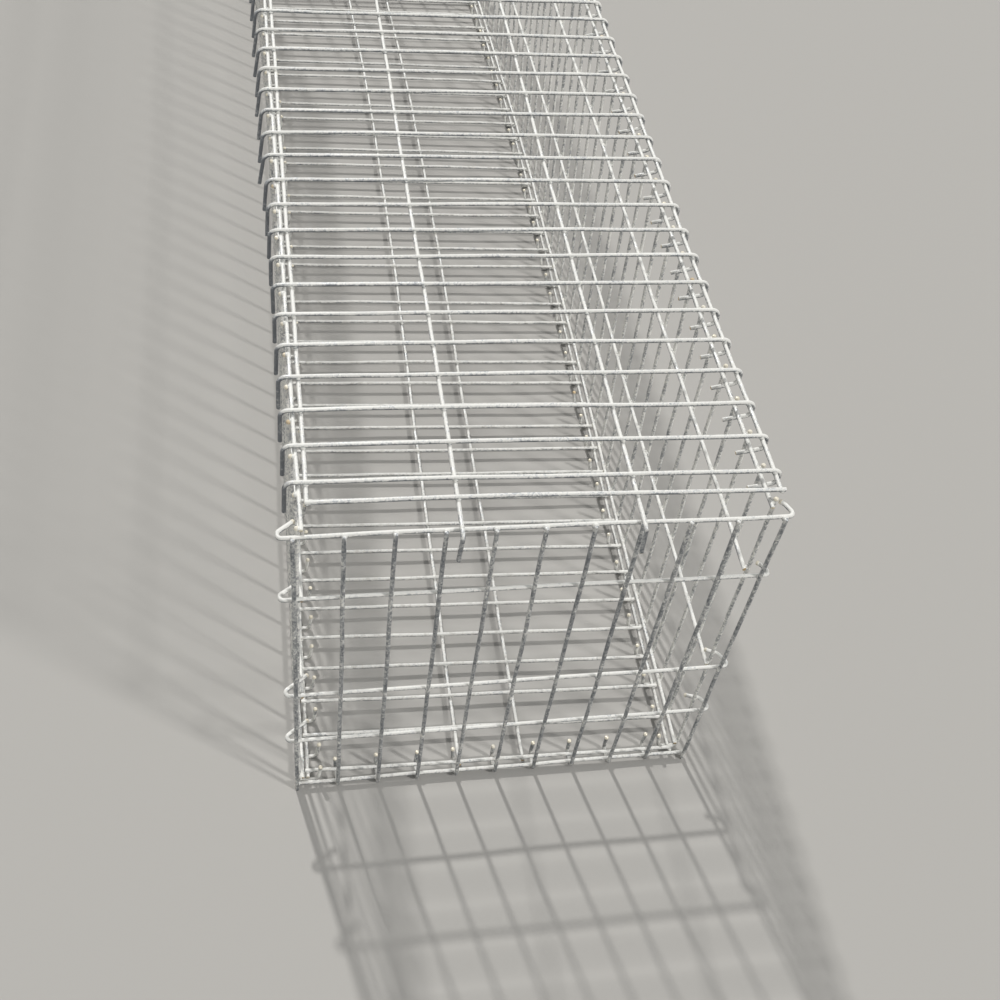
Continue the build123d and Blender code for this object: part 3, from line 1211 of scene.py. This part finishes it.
@dataclass
class EndPanel(MeshPanel):
    """An end: upright wires outside and level wires inside, whose ends hook round the sides' first uprights.

    The back end is the front one, turned round. A hook is given by the corners of its returning leg, as
    distances from the middle and behind the uprights.

    Attributes:
        levels: the heights of the level wires, the top one first and the foot wire last.
        tip_height: the height of the tips of the hooks at the uprights' feet.
        foot_play: how far those hooks vary.
        stretch: how much further out than its solid the last upright stands.
        hook_bend: the radius of the level wires' hooks.
        hook_play: how far they vary.
        left_apexes: where the left hooks' two legs would meet, were their noses sharp, from the top down.
        right_apexes: the same for the right hooks.
        left_legs: the left hooks, from the top down.
        right_legs: the right hooks, from the top down.
        foot_reach: how far from the middle the foot wire ends.
        upright_painted_light: painted light: how much paler the uprights are painted.
        level_painted_light: painted light: how much paler the level wires are painted.
    """

    levels: tuple[float, ...] = (0.4995, 0.3975, 0.2135, 0.1135, 0.0085)
    tip_height: float = 0.031
    foot_play: Play = Play(0.045, (0.003, 0.002, 0.001))
    stretch: float = 0.0025
    hook_bend: float = 0.0052
    hook_play: Play = Play(0.03, (0.0005, 0.0008, 0.0015))
    left_apexes: tuple[float, ...] = (0.2745, 0.274, 0.271, 0.2714)
    right_apexes: tuple[float, ...] = (0.2658, 0.2678, 0.2678, 0.2678)
    left_legs: tuple[tuple[tuple[float, float], ...], ...] = (
        ((0.2467, 0.0255),),
        ((0.246, 0.0245),),
        ((0.2345, 0.0325),),
        ((0.2341, 0.0315),),
    )
    right_legs: tuple[tuple[tuple[float, float], ...], ...] = (
        ((0.2585, 0.0205), (0.2535, 0.026)),
        ((0.2585, 0.0205), (0.2548, 0.0235)),
        ((0.2565, 0.0235), (0.2415, 0.0305)),
        ((0.2565, 0.0225), (0.2375, 0.0285)),
    )
    foot_reach: float = 0.2535
    upright_painted_light: float = 0.01
    level_painted_light: float = 0.03

    def draw(self, draft: MeshDraft) -> None:
        """Adds the end's wires and welds.

        Args:
            draft: the mesh.
        """
        stock, plan = self.plan.stock, self.plan
        plane = -plan.half_span
        columns = np.linspace(-plan.half_width, plan.half_width + self.stretch, plan.cells_across + 1)
        heights = np.array(self.levels)
        self.draw_uprights(draft, plane, columns, heights)
        self.draw_level_wires(draft, plane, columns, heights)
        x, z = np.meshgrid(columns, heights, indexing="ij")
        y = np.full_like(x, plane + stock.weld_offset / 2)
        places = (np.stack([x, y, z], axis=-1) * self.turned).reshape(-1, 3)
        draft.add_welds(places, Axis.UP, Axis.ACROSS)

    def draw_uprights(self, draft: MeshDraft, plane: float, columns: Array, heights: Array) -> None:
        """Adds the uprights, hooked at their feet between the two outer ones.

        Args:
            draft: the mesh.
            plane: the uprights' place along the basket.
            columns: their places across it.
            heights: the heights of the level wires.
        """
        stock, plan = self.plan.stock, self.plan
        inner = plane + plan.foot_inset
        shifts = Axis.ACROSS.points(columns) * self.turned
        shared = {
            "square": Axis.ACROSS,
            "finish": WireEnd.DIPPED,
            "weld_axis": Axis.UP,
            "weld_places": heights,
            "bloom_and_painted_light": self.upright_painted_light,
        }
        hooked = [
            (0.0, inner, self.tip_height),
            (0.0, inner, stock.radius),
            (0.0, plane, stock.radius),
            (0.0, plane, plan.end_top),
        ]
        draft.add_wires(
            WireRun(
                corners=np.array(hooked) * self.turned,
                shifts=shifts[1:-1],
                start=WireEnd.BEADED,
                start_play=self.foot_play,
                **shared,
            )
        )
        plain = np.array([(0.0, plane, 0.0), (0.0, plane, plan.end_top)])
        draft.add_wires(WireRun(corners=plain * self.turned, shifts=shifts[[0, -1]], **shared))

    def draw_level_wires(self, draft: MeshDraft, plane: float, columns: Array, heights: Array) -> None:
        """Adds the level wires with their hooks, and the plain foot wire.

        Args:
            draft: the mesh.
            plane: the uprights' place along the basket.
            columns: their places across it.
            heights: the heights of the level wires.
        """
        front = plane + self.plan.stock.weld_offset
        shared = {"square": Axis.UP, "weld_places": columns * self.turn, "bloom_and_painted_light": self.level_painted_light}
        hooks = zip(heights[:-1], self.left_apexes, self.left_legs, self.right_apexes, self.right_legs)
        for height, left_apex, left, right_apex, right in hooks:
            route = [
                *((-x, plane + behind, 0.0) for x, behind in reversed(left)),
                (-left_apex, front, 0.0),
                (right_apex, front, 0.0),
                *((x, plane + behind, 0.0) for x, behind in right),
            ]
            draft.add_wires(
                WireRun(
                    corners=np.array(route) * self.turned,
                    shifts=Axis.UP.points(height),
                    start=WireEnd.BEADED,
                    finish=WireEnd.BEADED,
                    start_play=self.hook_play,
                    finish_play=self.hook_play,
                    bend=self.hook_bend,
                    **shared,
                )
            )
        foot = np.array([(x, front, heights[-1]) for x in (-self.foot_reach, self.foot_reach + self.stretch)])
        draft.add_wires(WireRun(corners=foot * self.turned, **shared))


@dataclass
class LidPanel(MeshPanel):
    """The lid: crosswise wires with a leg at the left and a hook at the right, on lengthwise wires.

    Attributes:
        cells: the number of cells along the lid.
        first_row: the place of the first crosswise wire between the edge wires.
        edge_gap: how far the edge wires lie from the crosswise wires next to them.
        left_wire: the place of the left lengthwise wire.
        hinge_wire: the place of the right lengthwise wire, inside the hooks.
        runner_places: the two inner lengthwise wires' places at the middle.
        runner_slants: how far those wires turn, as slopes.
        skew: how far the crosswise wires turn from square, as a slope.
        cross_bend: the radius of their bends.
        leg_length: how far the legs reach down.
        leg_corner: where they turn down, right of the middle.
        leg_play: how far their ends vary.
        leg_splay: how far their ends stand out from there, in front and at the back.
        splay_step: the stretch of the lid over which the splay grows.
        leg_darkening: how much darker the legs are.
        leg_darkening_stop: how far below the lid that begins to fade.
        hook_height: how far the hooks' lower legs lie below the lid at their noses.
        hook_tip: where the hooks end, right of the middle.
        hook_drop: how much lower than their noses they end.
        hook_play: how far their ends vary.
        tab_length: how far the inner lengthwise wires turn down in front of the ends.
        tab_play: how far their ends vary.
    """

    cells: int = 38
    first_row: float = -0.9549
    edge_gap: float = 0.0262
    left_wire: float = -0.2336
    hinge_wire: float = 0.2568
    runner_places: tuple[float, ...] = (-0.079, 0.107)
    runner_slants: tuple[float, ...] = (0.0045, 0.0055)
    skew: float = -0.0123
    cross_bend: float = 0.0088
    leg_length: float = 0.045
    leg_corner: float = -0.2545
    leg_play: Point = (0.001, 0.002, 0.0015)
    leg_splay: tuple[float, float] = (0.001, 0.007)
    splay_step: tuple[float, float] = (-0.6, -0.4)
    leg_darkening: float = 0.13
    leg_darkening_stop: float = 0.008
    hook_height: float = 0.0205
    hook_tip: float = 0.2325
    hook_drop: float = 0.007
    hook_play: Play = Play(0.03, (0.001, 0.0015, 0.0006))
    tab_length: float = 0.04
    tab_play: Point = (0.002, 0.001, 0.001)

    def draw(self, draft: MeshDraft) -> None:
        """Adds the lid's wires and welds.

        Args:
            draft: the mesh.
        """
        stock, top = self.plan.stock, self.plan.lid_top
        rows = self.first_row + stock.pitch * np.arange(self.cells + 1)
        edges = np.array([rows[0] - self.edge_gap, rows[-1] + self.edge_gap])
        columns = np.array([self.left_wire, *self.runner_places, self.hinge_wire])
        self.draw_cross_wires(draft, rows, columns)
        self.draw_edge_wires(draft, rows, columns, edges)
        self.draw_runners(draft, rows)
        lines = np.array([edges[0], *rows, edges[1]])
        slants = np.array([0.0, *self.runner_slants, 0.0])
        x = columns[:, None] + slants[:, None] * lines
        y = lines + self.skew * x
        z = np.full_like(x, top - stock.weld_offset / 2)
        draft.add_welds(np.stack([x, y, z], axis=-1).reshape(-1, 3), Axis.ACROSS, Axis.ALONG)

    def draw_cross_wires(self, draft: MeshDraft, rows: Array, columns: Array) -> None:
        """Adds the crosswise wires with their legs and hooks.

        Args:
            draft: the mesh.
            rows: their places along the basket.
            columns: the lengthwise wires' places across it.
        """
        top, nose = self.plan.lid_top, self.plan.lid_hook
        bottom = top - self.hook_height
        splay = np.interp(rows, self.splay_step, self.leg_splay)
        route = [
            (self.leg_corner, top - self.leg_length),
            (self.leg_corner, top),
            (nose, top),
            (nose, bottom),
            (self.hook_tip, bottom - self.hook_drop),
        ]
        draft.add_wires(
            WireRun(
                corners=np.array([(x, self.skew * x, z) for x, z in route]),
                square=Axis.ALONG,
                shifts=Axis.ALONG.points(rows),
                start_play=Play(self.leg_length, self.leg_play),
                finish_play=self.hook_play,
                start_lean=Play(self.leg_length, Axis.ACROSS.points(-splay)),
                weld_places=columns,
                darkening_reach=(self.leg_length - self.leg_darkening_stop, self.leg_darkening_stop),
                darkening=self.leg_darkening,
                bend=self.cross_bend,
            )
        )

    def draw_edge_wires(self, draft: MeshDraft, rows: Array, columns: Array, edges: Array) -> None:
        """Adds the straight wires round the lid's edge.

        Args:
            draft: the mesh.
            rows: the crosswise wires' places along the basket.
            columns: the lengthwise wires' places across it.
            edges: the places of the front and back edge wires.
        """
        stock, top = self.plan.stock, self.plan.lid_top
        ends = (self.left_wire - stock.overhang, self.hinge_wire + stock.overhang)
        draft.add_wires(
            WireRun(
                corners=np.array([(x, self.skew * x, top) for x in ends]),
                square=Axis.ALONG,
                shifts=Axis.ALONG.points(edges),
                weld_places=columns,
            )
        )
        for x in (self.left_wire, self.hinge_wire):
            draft.add_wires(
                WireRun(
                    corners=np.array([(x, y + self.skew * x, top - stock.weld_offset) for y in edges]),
                    square=Axis.ACROSS,
                    weld_axis=Axis.ALONG,
                    weld_places=rows,
                )
            )

    def draw_runners(self, draft: MeshDraft, rows: Array) -> None:
        """Adds the inner lengthwise wires, which turn down in front of the ends.

        Args:
            draft: the mesh.
            rows: the crosswise wires' places along the basket.
        """
        tab, under = self.plan.lid_tab, self.plan.lid_top - self.plan.stock.weld_offset
        drop = under - self.tab_length
        play = Play(self.tab_length, self.tab_play)
        for x, slant in zip(self.runner_places, self.runner_slants):
            route = [(-tab, drop), (-tab, under), (tab, under), (tab, drop)]
            draft.add_wires(
                WireRun(
                    corners=np.array([(x + slant * y, y, z) for y, z in route]),
                    square=Axis.ACROSS,
                    start_play=play,
                    finish_play=play,
                    weld_axis=Axis.ALONG,
                    weld_places=rows,
                )
            )


@dataclass(frozen=True)
class Sun:
    """A distant lamp.

    Attributes:
        name: its name.
        travel: the direction in which its light travels.
        strength: its strength.
        spread: its width in degrees, which softens the shadows.
    """

    name: str
    travel: Point
    strength: float
    spread: float

    def hang(self) -> None:
        """Hangs the lamp."""
        light = bpy.data.lights.new(self.name, "SUN")
        light.energy = self.strength
        light.angle = math.radians(self.spread)
        lamp = bpy.data.objects.new(self.name, light)
        lamp.rotation_euler = Vector(self.travel).to_track_quat("-Z", "Y").to_euler()
        bpy.context.scene.collection.objects.link(lamp)


@dataclass(frozen=True)
class Studio:
    """The pale floor, the soft light from behind and the camera at the photographer's place.

    Attributes:
        floor_colour: the floor's colour.
        floor_roughness: its roughness.
        floor_shine: its specular level.
        floor_reach: how far it runs from the middle.
        floor_drop: how far it lies under the feet.
        lamps: the main light, from behind, and a second one from the right.
        sky: the brightness of the even light from all round.
        sky_colour: its colour.
        backdrop: the colour that the camera and mirrors see past the floor.
        camera_place: where the camera stands.
        heading: how far it turns right of the Y axis, in degrees.
        dip: how far it looks down, in degrees.
        roll: how far it leans to the left, in degrees.
        lens: its focal length in millimetres.
        sensor: the width of its sensor in millimetres.
        sight: how far it sees.
    """

    floor_colour: Point = (0.52, 0.5, 0.465)
    floor_roughness: float = 0.9
    floor_shine: float = 0.2
    floor_reach: float = 14.0
    floor_drop: float = 0.0001
    lamps: tuple[Sun, ...] = (
        Sun("key", travel=(0.22, -1.0, -1.0), strength=1.75, spread=2.4),
        Sun("fill", travel=(-1.0, 0.75, -1.0), strength=1.25, spread=6.0),
    )
    sky: float = 0.3
    sky_colour: Point = (0.94, 0.97, 1.0)
    backdrop: Point = (0.9, 0.9, 0.89)
    camera_place: Point = (-0.27554, -1.81505, 1.49469)
    heading: float = 15.74
    dip: float = 48.871
    roll: float = 9.35
    lens: float = 46.879
    sensor: float = 36.0
    sight: float = 100.0

    def lay_floor(self) -> None:
        """Lays the floor, a plain sheet just under the feet."""
        reach = self.floor_reach
        mesh = bpy.data.meshes.new("floor")
        sides = ((-1, -1), (1, -1), (1, 1), (-1, 1))
        mesh.from_pydata([(x * reach, y * reach, -self.floor_drop) for x, y in sides], [], [(0, 1, 2, 3)])
        floor = bpy.data.objects.new("floor", mesh)
        bpy.context.scene.collection.objects.link(floor)
        material = bpy.data.materials.new("pale_floor")
        material.use_nodes = True
        shader = material.node_tree.nodes["Principled BSDF"]
        shader.inputs["Base Color"].default_value = (*self.floor_colour, 1.0)
        shader.inputs["Roughness"].default_value = self.floor_roughness
        shader.inputs["Specular IOR Level"].default_value = self.floor_shine
        mesh.materials.append(material)
        floor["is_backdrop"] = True

    def light(self) -> None:
        """Hangs the lamps and sets the even light, with a pale backdrop for the camera and in mirrors."""
        for lamp in self.lamps:
            lamp.hang()
        world = bpy.data.worlds.new("studio")
        world.use_nodes = True
        world.node_tree.nodes.clear()
        graph = Graph(world.node_tree)
        rays = graph.add("ShaderNodeLightPath").outputs
        mirrored = graph.math("MAXIMUM", rays["Is Glossy Ray"], rays["Is Transmission Ray"])
        seen = graph.math("MAXIMUM", rays["Is Camera Ray"], mirrored)
        even = graph.add("ShaderNodeBackground", Color=(*self.sky_colour, 1.0), Strength=self.sky)
        pale = graph.add("ShaderNodeBackground", Color=(*self.backdrop, 1.0), Strength=1.0)
        both = graph.add("ShaderNodeMixShader", Fac=seen)
        graph.feed(both.inputs[1], even.outputs[0])
        graph.feed(both.inputs[2], pale.outputs[0])
        graph.add("ShaderNodeOutputWorld", Surface=both.outputs[0])
        bpy.context.scene.world = world

    def set_camera(self) -> None:
        """Sets the camera.

        Its forward direction is (sin(heading) * cos(dip), cos(heading) * cos(dip), -sin(dip)). Its right
        direction is level and square to that, and both other axes are then turned by the roll.
        """
        heading, dip, roll = (math.radians(value) for value in (self.heading, self.dip, self.roll))
        forward = Vector(
            (math.sin(heading) * math.cos(dip), math.cos(heading) * math.cos(dip), -math.sin(dip))
        )
        level = Vector((math.cos(heading), -math.sin(heading), 0.0))
        upright = level.cross(forward)
        right = math.cos(roll) * level + math.sin(roll) * upright
        up = math.cos(roll) * upright - math.sin(roll) * level
        data = bpy.data.cameras.new("camera")
        data.lens = self.lens
        data.sensor_width = self.sensor
        data.clip_end = self.sight
        camera = bpy.data.objects.new("camera", data)
        turn = Matrix((right, up, -forward)).transposed().to_4x4()
        camera.matrix_world = Matrix.Translation(self.camera_place) @ turn
        bpy.context.scene.collection.objects.link(camera)
        bpy.context.scene.camera = camera


def main() -> None:
    """Builds the basket's panels in order, then the studio."""
    logging.basicConfig(level=logging.INFO, format="%(name)s %(message)s")
    packed = [[float(value) for value in corner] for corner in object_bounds()]
    bounds = (np.array(packed[0]), np.array(packed[1]))
    plan = BasketPlan.from_frame(Stock())
    finish = ZincFinish().build(ZincMottling().build(), GroundSoiling().build())
    panels = [
        BasePanel(plan, "base_mesh", Body.CAGE, seed=11),
        SidePanel(plan, "right_side_mesh", Body.CAGE, seed=12),
        SidePanel(
            plan,
            "left_side_mesh",
            Body.CAGE,
            seed=13,
            turn=-1.0,
            slips=(-0.0065, 0.0),
            slip_places=(-0.96, -0.2),
            foot_gap=-0.0245,
            top_lean=0.002,
            top_drop=0.0,
        ),
        EndPanel(plan, "front_end_mesh", Body.CAGE, seed=14),
        EndPanel(plan, "back_end_mesh", Body.CAGE, seed=15, turn=-1.0),
        LidPanel(plan, "lid_mesh", Body.LID, seed=16),
    ]
    for panel in panels:
        panel.build(finish, bounds)
    studio = Studio()
    studio.lay_floor()
    studio.light()
    studio.set_camera()
    bpy.context.scene.view_settings.view_transform = "Standard"


if __name__ == "__main__":
    main()
